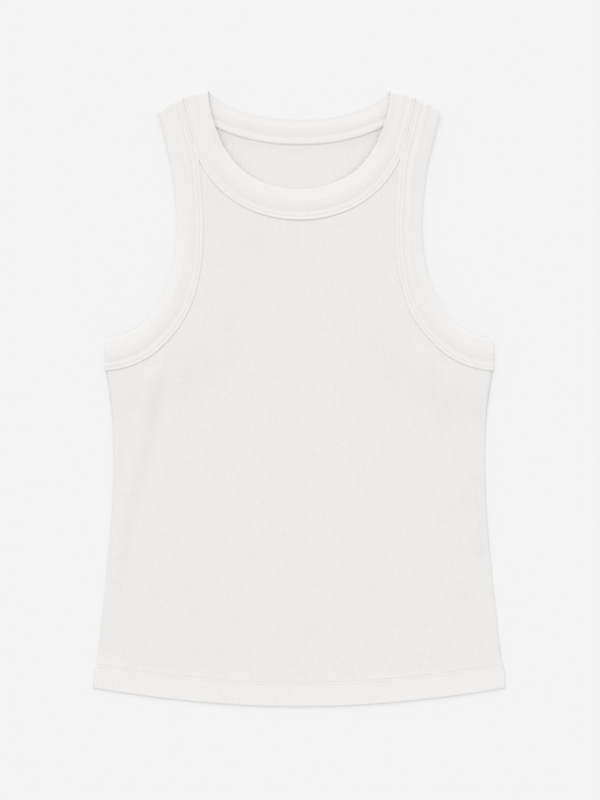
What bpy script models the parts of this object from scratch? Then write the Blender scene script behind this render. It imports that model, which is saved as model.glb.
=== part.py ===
"""A rib-knit tank top laid flat on its back, front side up and neck towards +Y.

Front and back panels lie on each other with their hems turned up. Three bands of wide rib bind
the neck and the armholes: each wraps the raw edge of both panels in a slot between its two legs,
and folds over where the garment does, at the shoulders and at the underarms.
Lengths are in millimetres up to the last step, which makes metres of them.
The origin is under the middle of the garment, on the surface that it lies on.
"""

import math

import bpy
import numpy as np
from mathutils import Vector
from mathutils.geometry import delaunay_2d_cdt

MM = 0.001

# Cloth and stack
CLOTH = 1.0  # one layer of the rib knit
GAP = 0.3  # clearance between neighbouring pieces
SLOT_ROOM = 0.4  # clearance over and under a raw edge in its slot
BAND_THIN = 2.0 * CLOTH + GAP  # a band beyond the raw edge that it holds
BAND_THICK = 3.0 * CLOTH + 2.0 * SLOT_ROOM  # a band over that raw edge
BAND_HALF = 13.5  # half of a band's width
SLOT_DEPTH = 8.0  # how far a band's legs reach over the raw edge
THICK_END = SLOT_DEPTH + 0.5  # where a band starts to thin
THIN_START = THICK_END + 3.5  # where it has thinned
HEM_THICK = 2.0 * CLOTH
HEM_DEPTH = 22.4
HEM_SLOPE = 3.0

# Half outlines, from the middle line outwards in x, as (x, y) knots of smooth curves.
HALF_LENGTH = 290.5
SHOULDER_OUTER = (132.7, 270.9)  # the ends of the line along which a strap folds
SHOULDER_INNER = (86.7, HALF_LENGTH)
SHOULDER_BOW = 2.7  # how far that fold bulges out between its ends
BOW_REACH = 14.0  # how far down the strap the bulge fades
UNDERARM_X = 184.5  # the line along which an armhole band folds
FRONT_STRAP_MIDDLE = [(109.9, 285.0), (104.6, 259.6), (98.0, 235.0)]  # where two bands meet
FRONT_NECK_EDGE = [(86.9, 292.0), (84.2, 269.0), (73.2, 240.3), (51.6, 213.4), (28.0, 201.3), (0, 196.7)]
FRONT_NECK_SEAM = [(80.4, 203.3), (57.0, 183.5), (30.0, 172.5), (0, 168.9)]
FRONT_ARM_EDGE = [
    (133.3, 273.5), (123.4, 230.8), (117.4, 187.4), (116.4, 151.0), (121.6, 117.0),
    (131.3, 92.3), (145.0, 72.0), (163.0, 60.3), (187.0, 54.0),
]  # fmt: skip
FRONT_ARM_SEAM = [
    (92.8, 190.0), (91.4, 153.5), (96.4, 108.0), (108.6, 75.3), (122.2, 56.9),
    (139.4, 40.8), (160.5, 30.3), (187.0, 26.2),
]  # fmt: skip
BACK_NECK_EDGE = [(89.0, 292.6), (69.5, 277.6), (40.0, 267.4), (0, 263.0)]
BACK_STRAP_MIDDLE = [(110.5, 285.2), (104.0, 275.5), (98.0, 267.5)]
BACK_NECK_SEAM = [(78.0, 255.6), (48.0, 245.0), (0, 239.7)]
BACK_ARM_EDGE = [
    (134.4, 273.5), (119.5, 250.0), (109.0, 226.0), (103.0, 198.0), (101.5, 168.0), (104.5, 138.0),
    (113.5, 108.0), (128.0, 81.0), (146.0, 62.5), (165.0, 54.5), (187.0, 54.0),
]  # fmt: skip
BACK_ARM_SEAM = [
    (85.0, 243.0), (78.5, 218.0), (76.0, 188.0), (77.5, 153.0), (82.5, 119.0),
    (93.5, 84.0), (112.0, 54.0), (136.0, 34.5), (160.0, 27.0), (187.0, 26.2),
]  # fmt: skip
SIDE = [
    (183.3, 25.6), (177.3, -20.0), (176.2, -68.0), (178.3, -117.0), (181.4, -153.4),
    (187.4, -210.0), (192.0, -247.5), (193.2, -252.0), (195.4, -272.7),
]  # fmt: skip
HEM_CORNER_RISE = 17.8  # the hem's ends stand this much above its middle
HEM_HALF = 195.4
SIDE_LIP = 1.2  # the front panel's edge turns down over this width to meet the back

# How the front lies over the back's bands
LIFT_SHELF = 10.0  # it stays level this far past a band
LIFT_SLOPE = 26.0  # and sinks to the back panel over this distance
RAMP = 6.0  # a panel rises into its slot over this distance

# Soft folds of the front panel: (x, y) of both ends, reach to each side, height
FRONT_FOLDS = [
    ((-127.0, -5.0), (-168.0, -190.0), 13.0, 0.9),
    ((-152.0, 20.0), (-171.0, -60.0), 10.0, 0.7),
    ((128.0, 5.0), (158.0, -150.0), 12.0, 0.8),
    ((150.0, 12.0), (172.0, -190.0), 9.0, 0.6),
    ((-40.0, -20.0), (30.0, -120.0), 40.0, 0.8),
    ((30.0, -120.0), (-50.0, -215.0), 34.0, 0.7),
]

# Mesh density
GRID = 19.0
SIDE_POINTS = 60
HEM_POINTS = 25
HEM_STEPS = (0.0, HEM_DEPTH, HEM_DEPTH + HEM_SLOPE)
FIRST_ROW = 40.0  # height over the hem of the first side point above it
NECK_FRONT_STATIONS = 17
NECK_BACK_STATIONS = 9
ARM_FRONT_STATIONS = 21
ARM_BACK_STATIONS = 16
CURL_STEPS = 5

# A band's section, clockwise from the seam end of its outside: which end each point is measured
# from, how far from that end it lies, and its height over the band's inside.
SECTION = [
    ("seam", 0.0, "soft"),
    ("seam", 0.7, "thick"),
    ("seam", THICK_END, "thick"),
    ("seam", THIN_START, "thin"),
    ("edge", 1.0, "thin"),
    ("edge", 0.0, "rim"),
    ("edge", 0.9, "inside"),
    ("seam", THIN_START, "inside"),
    ("seam", THICK_END, "inside"),
    ("seam", 0.0, "inside"),
    ("seam", 0.0, "slot_floor"),
    ("seam", SLOT_DEPTH, "slot_floor"),
    ("seam", SLOT_DEPTH, "slot_roof"),
    ("seam", 0.0, "slot_roof"),
]
SECTION_HEIGHT = {
    "soft": BAND_THICK - 0.3,
    "thick": BAND_THICK,
    "thin": BAND_THIN,
    "rim": 0.45 * BAND_THIN,
    "inside": 0.0,
    "slot_floor": CLOTH,
    "slot_roof": 2.0 * CLOTH + 2.0 * SLOT_ROOM,
}

BODY_COLOUR = (0.820, 0.806, 0.795, 1.0)
BACK_COLOUR = (0.826, 0.814, 0.803, 1.0)
BAND_COLOUR = (0.846, 0.834, 0.822, 1.0)


def smooth_curve(knots, level_end=False, heading=None):
    """A dense path through the knots, with a set heading at its start if one is given.

    level_end makes it cross the middle line squarely.
    """
    points = np.array(knots, float)
    step = np.hypot(*np.diff(points, axis=0).T)
    slope = np.diff(points, axis=0) / step[:, None]
    tangent = np.empty_like(points)
    weight = step[:, None]
    tangent[1:-1] = (slope[:-1] * weight[1:] + slope[1:] * weight[:-1]) / (weight[:-1] + weight[1:])
    tangent[0] = 2.0 * slope[0] - tangent[1] if heading is None else heading
    tangent[-1] = (-1.0, 0.0) if level_end else 2.0 * slope[-1] - tangent[-2]
    t = np.linspace(0.0, 1.0, 40)[:, None]
    pieces = []
    for i, h in enumerate(step):
        pieces.append(
            (2 * t**3 - 3 * t**2 + 1) * points[i]
            + (t**3 - 2 * t**2 + t) * h * tangent[i]
            + (3 * t**2 - 2 * t**3) * points[i + 1]
            + (t**3 - t**2) * h * tangent[i + 1]
        )
    path = np.concatenate(pieces)
    moved = np.hypot(*np.diff(path, axis=0).T) > 1e-6
    return path[np.concatenate([[True], moved])]


def resampled(path, count):
    """Evenly spaced points along a path."""
    along = np.concatenate([[0.0], np.cumsum(np.hypot(*np.diff(path, axis=0).T))])
    at = np.linspace(0.0, along[-1], count)
    return np.column_stack([np.interp(at, along, path[:, 0]), np.interp(at, along, path[:, 1])])


def trimmed(path, origin, outward, reach):
    """The part of a path that stays reach inside the line through origin, with its end on it."""
    depth = (path - origin) @ outward + reach
    inside = np.flatnonzero(depth <= 0.0)
    first, last = inside[0], inside[-1]
    ends = [path[first : last + 1]]
    if first > 0:
        share = depth[first - 1] / (depth[first - 1] - depth[first])
        ends.insert(0, [path[first - 1] + share * (path[first] - path[first - 1])])
    if last < len(path) - 1:
        share = depth[last] / (depth[last] - depth[last + 1])
        ends.append([path[last] + share * (path[last + 1] - path[last])])
    return np.concatenate(ends)


def distance_to(path, points):
    """The distance from each point to a path of straight steps."""
    start, step = path[:-1], np.diff(path, axis=0)
    away = points[:, None] - start[None]
    share = np.clip((away * step).sum(2) / (step**2).sum(1), 0.0, 1.0)
    return np.hypot(*(away - share[..., None] * step).transpose(2, 0, 1)).min(axis=1)


def ease(share):
    """A smooth fall from 1 at 0 to 0 at 1."""
    share = np.clip(share, 0.0, 1.0)
    return 1.0 - share * share * (3.0 - 2.0 * share)


def mirrored(points):
    return points * np.array([-1.0, 1.0])


def sideways(path, shift):
    return path + np.array([shift, 0.0])


def right_half(points):
    """Points folded over the middle line onto its right side."""
    return np.column_stack([np.abs(points[:, 0]), points[:, 1]])


# The line of the shoulder fold and the direction out over it
SHOULDER = np.array(SHOULDER_OUTER)
ALONG_SHOULDER = np.array(SHOULDER_INNER) - SHOULDER
ALONG_SHOULDER /= np.hypot(*ALONG_SHOULDER)
OVER_SHOULDER = np.array([ALONG_SHOULDER[1], -ALONG_SHOULDER[0]])
UNDERARM = np.array([UNDERARM_X, 0.0])
OVER_UNDERARM = np.array([1.0, 0.0])

# Both layers of a fold leave room for the curl between them: its outer radius at a thin band.
FRONT_LEVEL = BAND_THICK + GAP  # height of the front's inside over the back's bands
FOLD_REACH = 0.5 * (FRONT_LEVEL - BAND_THIN) + BAND_THIN


def paired(edge, seam, count):
    """Stations of a band: evenly spaced edge points, each with the seam point straight across.

    The first and last pair take the seam's own ends, and their neighbours ease towards them.
    """
    edge = resampled(edge, count)
    seam = resampled(seam, 600)
    across = np.array([np.argmin(np.hypot(*(seam - point).T)) for point in edge], float)
    t = np.linspace(0.0, 1.0, count)
    across -= across[0] * ease(t / 0.3)
    across += (len(seam) - 1 - across[-1]) * ease((1.0 - t) / 0.3)
    across = np.maximum.accumulate(across)
    places = np.arange(len(seam))
    seam = np.column_stack([np.interp(across, places, seam[:, k]) for k in (0, 1)])
    return np.stack([edge, seam], axis=1)


def band_half(edge, middle, seam, count, level_end, shift):
    """One face of a band from the shoulder to the middle line or to the underarm.

    Its seam edge runs down the strap's middle and then leaves it, both in one smooth line.
    """
    edge = trimmed(smooth_curve(edge, level_end), SHOULDER, OVER_SHOULDER, FOLD_REACH)
    down = smooth_curve(middle)
    heading = (down[-1] - down[-2]) / np.hypot(*(down[-1] - down[-2]))
    seam = smooth_curve([middle[-1], *seam], level_end, heading)
    seam = np.concatenate([down[:-1], seam])
    seam = trimmed(sideways(seam, shift), SHOULDER, OVER_SHOULDER, FOLD_REACH)
    if level_end:
        edge[-1, 0] = seam[-1, 0] = 0.0
    else:
        edge = trimmed(edge, UNDERARM, OVER_UNDERARM, FOLD_REACH)
        seam = trimmed(seam, UNDERARM, OVER_UNDERARM, FOLD_REACH)
    return paired(edge, seam, count)


HALF_GAP = 0.2  # each band keeps this far from the strap's middle line
NECK_FRONT = band_half(
    FRONT_NECK_EDGE, FRONT_STRAP_MIDDLE, FRONT_NECK_SEAM, NECK_FRONT_STATIONS, True, -HALF_GAP
)
NECK_BACK = band_half(
    BACK_NECK_EDGE, BACK_STRAP_MIDDLE, BACK_NECK_SEAM, NECK_BACK_STATIONS, True, -HALF_GAP
)
ARM_FRONT = band_half(
    FRONT_ARM_EDGE, FRONT_STRAP_MIDDLE, FRONT_ARM_SEAM, ARM_FRONT_STATIONS, False, HALF_GAP
)
ARM_BACK = band_half(
    BACK_ARM_EDGE, BACK_STRAP_MIDDLE, BACK_ARM_SEAM, ARM_BACK_STATIONS, False, HALF_GAP
)


def hem_height(points):
    """How far above the hem's edge each point lies."""
    share = points[:, 0] / HEM_HALF
    return points[:, 1] + HALF_LENGTH - HEM_CORNER_RISE * share * share


def hem_share(points):
    return ease((hem_height(points) - HEM_DEPTH) / HEM_SLOPE)


def back_top(points):
    """The top of what the front lies on: the back panel, its hem and its bands, smoothed."""
    lines = [NECK_BACK.mean(axis=1), ARM_BACK.mean(axis=1)]
    away = np.min([distance_to(line, right_half(points)) for line in lines], axis=0)
    over_band = ease((away - BAND_HALF - LIFT_SHELF) / LIFT_SLOPE)
    return (
        CLOTH
        + (BAND_THICK - CLOTH) * over_band
        + (HEM_THICK - CLOTH) * hem_share(points)
    )


def fold_height(points):
    """The soft folds that lift the front panel, fading out towards the hem and the bands."""
    height = np.zeros(len(points))
    for start, end, reach, rise in FRONT_FOLDS:
        away = distance_to(np.array([start, end]), points)
        height += rise * ease(away / reach)
    fade = 1.0 - ease((hem_height(points) - HEM_DEPTH - HEM_SLOPE) / 30.0)
    seams = (ARM_FRONT[:, 1], NECK_FRONT[:, 1])
    from_seam = np.min([distance_to(seam, right_half(points)) for seam in seams], axis=0)
    return height * fade * (1.0 - ease((from_seam - RAMP) / 20.0))


def solid(name, points, faces, colour):
    """An object from points in millimetres, shaded smooth but for its sharp edges."""
    mesh = bpy.data.meshes.new(name)
    mesh.from_pydata([Vector(p) * MM for p in points], [], [list(f) for f in faces])
    mesh.validate()
    mesh.shade_smooth()
    mesh.set_sharp_from_angle(angle=math.radians(35))
    material = bpy.data.materials.new(name + "_rib_knit")
    material.use_nodes = True
    shader = material.node_tree.nodes["Principled BSDF"]
    shader.inputs["Base Color"].default_value = colour
    shader.inputs["Roughness"].default_value = 0.92
    shader.inputs["Metallic"].default_value = 0.0
    mesh.materials.append(material)
    item = bpy.data.objects.new(name, mesh)
    bpy.context.scene.collection.objects.link(item)
    return item


def section_of(pair):
    """The plan positions and heights of a band's section at one station."""
    edge, seam = pair
    width = np.hypot(*(seam - edge))
    across = (seam - edge) / width
    plan, heights = [], []
    for side, distance, height in SECTION:
        inset = distance if side == "edge" else width - distance
        plan.append(edge + across * inset)
        heights.append(SECTION_HEIGHT[height])
    return np.array(plan), np.array(heights)


def own_thickness():
    """The band's whole thickness at each point of its section."""
    thin = [side == "edge" or distance >= THIN_START for side, distance, _ in SECTION]
    return np.where(thin, BAND_THIN, BAND_THICK)


THICKNESS = own_thickness()


def front_section(pair):
    plan, heights = section_of(pair)
    return np.column_stack([plan, back_top(plan) + GAP + heights])


def back_section(pair):
    plan, heights = section_of(pair)
    return np.column_stack([plan, THICKNESS - heights])


def curl_sections(front, back, outward):
    """Sections round a fold, from a front station to the back station under it."""
    front_plan, heights = section_of(front)
    back_plan, _ = section_of(back)
    inner = 0.5 * (FRONT_LEVEL - THICKNESS)
    middle = THICKNESS + inner
    sections = []
    for step in range(1, CURL_STEPS):
        turn = math.pi * step / CURL_STEPS
        plan = front_plan + (back_plan - front_plan) * step / CURL_STEPS
        out = ((inner + heights) * math.sin(turn))[:, None] * outward
        sections.append(np.column_stack([plan + out, middle + (inner + heights) * math.cos(turn)]))
    return sections


def bowed(points):
    """Band points near the shoulder pushed out, so that the fold bulges between its ends."""
    plan = right_half(points[:, :2]) - SHOULDER
    width = np.hypot(*(np.array(SHOULDER_INNER) - SHOULDER))
    along = np.clip(plan @ ALONG_SHOULDER / width, 0.0, 1.0)
    inward = -(plan @ OVER_SHOULDER)
    push = SHOULDER_BOW * (1.0 - (2.0 * along - 1.0) ** 2) * ease(inward / BOW_REACH)
    way = np.sign(points[:, 0]) * OVER_SHOULDER[0]
    return points + np.column_stack([push * way, push * OVER_SHOULDER[1], np.zeros(len(points))])


def mirrored_sections(sections):
    return [section * np.array([-1.0, 1.0, 1.0]) for section in sections]


def ring(name, sections):
    """A closed loop of sections, each joined to the next."""
    count = len(SECTION)
    points = bowed(np.concatenate(sections))
    faces = []
    for i in range(len(sections)):
        here, there = i * count, (i + 1) % len(sections) * count
        for k in range(count):
            after = (k + 1) % count
            faces.append((here + k, here + after, there + after, there + k))
    volume = sum(
        np.dot(points[a], np.cross(points[b], points[c])) + np.dot(points[a], np.cross(points[c], points[d]))
        for a, b, c, d in faces
    )
    if volume < 0.0:
        faces = [face[::-1] for face in faces]
    return solid(name, points, faces, BAND_COLOUR)


def neckband():
    front = [front_section(pair) for pair in NECK_FRONT]
    back = [back_section(pair) for pair in NECK_BACK]
    curl = curl_sections(NECK_FRONT[0], NECK_BACK[0], OVER_SHOULDER)
    half = front[::-1] + curl + back
    other = mirrored_sections(half[::-1])
    return ring("neckband", half + other[1:-1])


def armhole_band(name, side):
    front = [front_section(pair) for pair in ARM_FRONT]
    back = [back_section(pair) for pair in ARM_BACK]
    shoulder = curl_sections(ARM_FRONT[0], ARM_BACK[0], OVER_SHOULDER)
    underarm = curl_sections(ARM_FRONT[-1], ARM_BACK[-1], OVER_UNDERARM)
    loop = front + underarm + back[::-1] + shoulder[::-1]
    return ring(name, loop if side > 0 else mirrored_sections(loop))


TAB = SLOT_DEPTH - GAP  # how far a panel's raw edge goes into its slot


def raw_edge(stations):
    """The panel's cut edge inside a band, on the band's own stations."""
    edge, seam = stations[:, 0], stations[:, 1]
    width = np.hypot(*(seam - edge).T)[:, None]
    return seam + (edge - seam) * TAB / width


def seam_offset(seam, distance):
    """A line beside a seam, on the panel's side."""
    along = np.gradient(seam, axis=0)
    along /= np.hypot(*along.T)[:, None]
    return seam + distance * np.column_stack([along[:, 1], -along[:, 0]])


class Net:
    """Points and fixed edges of a panel's plan, which the triangulation keeps."""

    def __init__(self):
        self.points = []
        self.index = {}
        self.edges = []

    def place(self, point):
        key = (round(float(point[0]), 2), round(float(point[1]), 2))
        if key not in self.index:
            self.index[key] = len(self.points)
            self.points.append(key)
        return self.index[key]

    def line(self, path):
        places = [self.place(point) for point in path]
        self.edges += [(a, b) for a, b in zip(places, places[1:]) if a != b]
        return places


def inside_outline(outline, points):
    """Which points lie inside a closed outline."""
    after = np.roll(outline, -1, axis=0)
    rising = (outline[None, :, 1] > points[:, None, 1]) != (after[None, :, 1] > points[:, None, 1])
    height = np.where(after[:, 1] == outline[:, 1], 1e-9, after[:, 1] - outline[:, 1])
    crossing = outline[:, 0] + (points[:, None, 1] - outline[:, 1]) / height * (after[:, 0] - outline[:, 0])
    return ((rising & (points[:, None, 0] < crossing)).sum(axis=1) % 2).astype(bool)


def in_band(band, points):
    """Which points lie under a band's legs."""
    return inside_outline(np.concatenate([band[:, 0], band[::-1, 1]]), right_half(points))


def hem_line(height, count, half):
    """A line at one height above the hem's edge, from the left side to the right."""
    x = np.linspace(-half, half, count)
    return np.column_stack([x, height - HALF_LENGTH + HEM_CORNER_RISE * (x / HEM_HALF) ** 2])


def side_at(side, height):
    """Where the side edge crosses a height above the hem."""
    above = hem_height(side)
    order = np.argsort(above)
    return np.array([np.interp(height, above[order], side[order, k]) for k in (0, 1)])


def side_edge(neck, arm):
    """A panel's right half outline: its side, the notch under the armhole band, and its raw edges."""
    side = resampled(smooth_curve(SIDE), SIDE_POINTS)
    heights = [*HEM_STEPS, *np.arange(FIRST_ROW, hem_height(side)[0], GRID)]
    right = [side_at(side, height) for height in heights]
    band_reach = FOLD_REACH + BAND_THICK - BAND_THIN + GAP
    arm_raw = trimmed(raw_edge(arm)[1:], UNDERARM, OVER_UNDERARM, band_reach)
    notch = np.array([arm_raw[-1, 0], side[0, 1]])
    return np.array([*right, side[0], notch]), arm_raw[::-1], raw_edge(neck)[1:]


def neck_guides(neck, arm):
    """The neck seam and the foot of its ramp, where no armhole band lies over them."""
    seam = np.concatenate([neck[1:, 1], mirrored(neck[1:-1, 1])[::-1]])
    below_strap = seam[:, 1] < arm[1, 1, 1] - 1.0
    seam = seam[below_strap & (distance_to(arm[:, 1], right_half(seam)) > 2.0)]
    ramp = seam_offset(seam, -RAMP)
    return [seam, ramp[distance_to(arm[:, 1], right_half(ramp)) > RAMP]]


def side_guides(neck, arm, side):
    """On the right half: the foot of the side lip, the arm seam and the foot of its ramp."""
    notch_x = side[-1, 0]
    lip = np.array([*side[1:-2], (side[-2, 0], side[-1, 1])]) - np.array([SIDE_LIP, 0.0])
    seam = arm[1:, 1]
    seam = seam[seam[:, 0] < notch_x - 1.0]
    ramp = seam_offset(seam, RAMP)
    clear = distance_to(neck[:, 1], ramp) > RAMP
    return [lip[:-1], seam, ramp[clear & ~in_band(neck, ramp)]]


def lattice_points(outline, guides, taken, bands):
    """A regular lattice inside the outline, thinned where other points already stand."""
    rows = np.arange(-HALF_LENGTH, HALF_LENGTH, GRID * math.sqrt(0.75))
    lattice = []
    for i, y in enumerate(rows):
        x = np.arange(GRID * (0.5 if i % 2 else 0.0), HEM_HALF, GRID)
        lattice += [(sign * v, y) for v in x for sign in ((1.0, -1.0) if v > 0 else (1.0,))]
    lattice = np.array(lattice)
    lattice = lattice[inside_outline(outline, lattice)]
    crowded = np.array([np.hypot(*(taken - point).T).min() < 0.6 * GRID for point in lattice])
    lines = [*guides, np.concatenate([outline, outline[:1]])]
    beside = np.min([distance_to(line, lattice) for line in lines], axis=0) < 0.45 * GRID
    bound = in_band(bands[0], lattice) | in_band(bands[1], lattice)
    return lattice[~(crowded | beside | bound)]


def panel_plan(neck, arm):
    """The plan of a panel: its points and its triangles."""
    side, arm_raw, neck_raw = side_edge(neck, arm)
    hem = hem_line(0.0, HEM_POINTS, HEM_HALF)
    half = np.concatenate([hem[HEM_POINTS // 2 + 1 : -1], side, arm_raw, neck_raw[:-1]])
    middle_top, middle_hem = neck_raw[-1:] * np.array([0.0, 1.0]), hem[HEM_POINTS // 2][None]
    outline = np.concatenate([half, middle_top, mirrored(half[::-1]), middle_hem])

    net = Net()
    loop = [net.place(point) for point in outline]
    guides = [hem_line(height, HEM_POINTS, side_at(side[:-2], height)[0]) for height in HEM_STEPS[1:]]
    for flip in (np.array([1.0, 1.0]), np.array([-1.0, 1.0])):
        guides += [guide * flip for guide in side_guides(neck, arm, side)]
    guides += neck_guides(neck, arm)
    for guide in guides:
        net.line(guide)
    for point in lattice_points(outline, guides, np.array(net.points), (neck, arm)):
        net.place(point)

    flat = [Vector(point) for point in net.points]
    points, _, triangles, *_ = delaunay_2d_cdt(flat, net.edges, [loop], 1, 1e-4)
    return np.array([(p.x, p.y) for p in points]), triangles


def walled(name, plan, triangles, bottom, top, colour):
    """A panel: its top, its bottom and a wall round its border."""
    count = len(plan)
    points = np.concatenate([np.column_stack([plan, top]), np.column_stack([plan, bottom])])
    faces = []
    border = {}
    for a, b, c in triangles:
        (ax, ay), (bx, by), (cx, cy) = plan[a], plan[b], plan[c]
        if (bx - ax) * (cy - ay) - (by - ay) * (cx - ax) < 0.0:
            b, c = c, b
        faces.append((a, b, c))
        faces.append((a + count, c + count, b + count))
        for start, end in ((a, b), (b, c), (c, a)):
            if (end, start) in border:
                del border[end, start]
            else:
                border[start, end] = True
    faces += [(end, start, start + count, end + count) for start, end in border]
    return solid(name, points, faces, colour)


def slot_rise(plan, neck, arm):
    """How much higher a panel lies where it enters its slots than on a flat surface."""
    seams = (neck[:, 1], arm[:, 1])
    away = np.min([distance_to(seam, right_half(plan)) for seam in seams], axis=0)
    held = in_band(neck, plan) | in_band(arm, plan)
    return (CLOTH + SLOT_ROOM) * np.where(held, 1.0, ease(away / RAMP))


def panel_thickness(plan):
    return CLOTH + (HEM_THICK - CLOTH) * hem_share(plan)


def back_panel():
    plan, triangles = panel_plan(NECK_BACK, ARM_BACK)
    bottom = slot_rise(plan, NECK_BACK, ARM_BACK)
    return walled("back_panel", plan, triangles, bottom, bottom + panel_thickness(plan), BACK_COLOUR)


def front_panel():
    plan, triangles = panel_plan(NECK_FRONT, ARM_FRONT)
    bottom = back_top(plan) + GAP + slot_rise(plan, NECK_FRONT, ARM_FRONT) + fold_height(plan)
    top = bottom + panel_thickness(plan)
    side = resampled(smooth_curve(SIDE), 200)
    at_side = distance_to(side, right_half(plan)) < 0.4
    lip = slot_rise(plan, NECK_BACK, ARM_BACK) + panel_thickness(plan) + GAP
    return walled("front_panel", plan, triangles, np.where(at_side, lip, bottom), top, BODY_COLOUR)


def main():
    for item in list(bpy.data.objects):
        bpy.data.objects.remove(item, do_unlink=True)
    back_panel()
    front_panel()
    neckband()
    armhole_band("armhole_band_left", 1.0)
    armhole_band("armhole_band_right", -1.0)


main()
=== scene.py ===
"""The looks of a rib-knit tank top laid flat: ribbed panels and bands, stitching, light and camera.

Lengths are in millimetres up to the last step, which makes metres of them. The outlines, the cloth's
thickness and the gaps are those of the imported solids, worked out again at a finer step. The heights
follow the solids' stack, drawn in by FLAT, but differ from it where looks asked for it: the creases,
the rise over the underarms, the hem, the side edges and the bands' folds.
"""

import math

import bpy
import numpy as np
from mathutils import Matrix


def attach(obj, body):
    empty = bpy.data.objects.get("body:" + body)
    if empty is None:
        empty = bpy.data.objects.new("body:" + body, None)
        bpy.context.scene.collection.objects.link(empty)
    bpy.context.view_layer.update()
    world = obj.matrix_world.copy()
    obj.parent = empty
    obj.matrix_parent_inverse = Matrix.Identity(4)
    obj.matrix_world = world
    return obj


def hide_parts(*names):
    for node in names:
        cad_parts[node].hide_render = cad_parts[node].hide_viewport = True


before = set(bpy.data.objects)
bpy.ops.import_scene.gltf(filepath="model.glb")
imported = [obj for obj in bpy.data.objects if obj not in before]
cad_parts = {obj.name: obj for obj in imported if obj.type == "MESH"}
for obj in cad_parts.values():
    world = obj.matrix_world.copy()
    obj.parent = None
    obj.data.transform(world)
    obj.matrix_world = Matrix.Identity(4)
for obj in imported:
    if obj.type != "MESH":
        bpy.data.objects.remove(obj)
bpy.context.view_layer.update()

MM = 0.001
FLAT = 0.8  # the cloth lies thinner than its solids: heights are drawn in by this much

# Cloth and stack, as in the solids but for ARM_LIFT_SLOPE, which is gentler here
CLOTH = 1.0
GAP = 0.3
SLOT_ROOM = 0.4
BAND_THIN = 2.0 * CLOTH + GAP
BAND_THICK = 3.0 * CLOTH + 2.0 * SLOT_ROOM
BAND_HALF = 13.5
HEM_DEPTH = 22.4
HEM_SLOPE = 3.0
TAB = 7.7
FRONT_LEVEL = BAND_THICK + GAP
FOLD_REACH = 0.5 * (FRONT_LEVEL - BAND_THIN) + BAND_THIN
LIFT_SHELF = 10.0
NECK_LIFT_SLOPE = 26.0
ARM_LIFT_SLOPE = 48.0
RAMP = 6.0
HALF_GAP = 0.2
BACK_EDGE_SLOPE = 22.0  # over which the front sinks to the floor beyond the back's armholes

# Half outlines as (x, y) knots of smooth curves, with x measured out from the middle line
HALF_LENGTH = 290.5
SHOULDER_OUTER = (132.7, 270.9)
SHOULDER_INNER = (86.7, HALF_LENGTH)
UNDERARM_X = 184.5
FRONT_STRAP_MIDDLE = [(109.9, 285.0), (104.6, 259.6), (98.0, 235.0)]
FRONT_NECK_EDGE = [(86.9, 292.0), (84.2, 269.0), (73.2, 240.3), (51.6, 213.4), (28.0, 201.3), (0, 196.7)]
FRONT_NECK_SEAM = [(80.4, 203.3), (57.0, 183.5), (30.0, 172.5), (0, 168.9)]
FRONT_ARM_EDGE = [
    (133.3, 273.5), (123.4, 230.8), (117.4, 187.4), (116.4, 151.0), (121.6, 117.0),
    (131.3, 92.3), (145.0, 72.0), (163.0, 60.3), (187.0, 54.0),
]  # fmt: skip
FRONT_ARM_SEAM = [
    (92.8, 190.0), (91.4, 153.5), (96.4, 108.0), (108.6, 75.3), (122.2, 56.9),
    (139.4, 40.8), (160.5, 30.3), (187.0, 26.2),
]  # fmt: skip
BACK_NECK_EDGE = [(89.0, 292.6), (69.5, 277.6), (40.0, 267.4), (0, 263.0)]
BACK_STRAP_MIDDLE = [(110.5, 285.2), (104.0, 275.5), (98.0, 267.5)]
BACK_NECK_SEAM = [(78.0, 255.6), (48.0, 245.0), (0, 239.7)]
BACK_ARM_EDGE = [
    (134.4, 273.5), (119.5, 250.0), (109.0, 226.0), (103.0, 198.0), (101.5, 168.0), (104.5, 138.0),
    (113.5, 108.0), (128.0, 81.0), (146.0, 62.5), (165.0, 54.5), (187.0, 54.0),
]  # fmt: skip
BACK_ARM_SEAM = [
    (85.0, 243.0), (78.5, 218.0), (76.0, 188.0), (77.5, 153.0), (82.5, 119.0),
    (93.5, 84.0), (112.0, 54.0), (136.0, 34.5), (160.0, 27.0), (187.0, 26.2),
]  # fmt: skip
SIDE = [
    (183.3, 25.6), (177.3, -20.0), (176.2, -68.0), (178.3, -117.0), (181.4, -153.4),
    (187.4, -210.0), (192.0, -247.5), (193.2, -252.0), (195.4, -272.7),
]  # fmt: skip
SIDE_TOP = 183.3
BELOW_ARMHOLES = 26.0  # the sides' edges lie under this y
HEM_CORNER_RISE = 17.8
HEM_HALF = 195.4

# Ribs: each takes four columns of points, from its crest over both slopes and its valley
WALE = np.array([1.0, 0.72, 0.0, 0.72])
PER_RIB = len(WALE)
BODY_RIBS = 188  # across a panel
BODY_RIB_HEIGHT = 0.085
BAND_RIB = 2.25  # spacing on the armhole bands
NECK_RIB = 2.1
BAND_RIB_HEIGHT = 0.16
SHOULDER_RIBS = 4
UNDERARM_RIBS = 4
SIDE_IN = 0.6  # how far in the soft side edges stay from the solids'
SIDE_SPREAD = 2.0  # how much more the outer ribs follow the side edge than the inner ones

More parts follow.
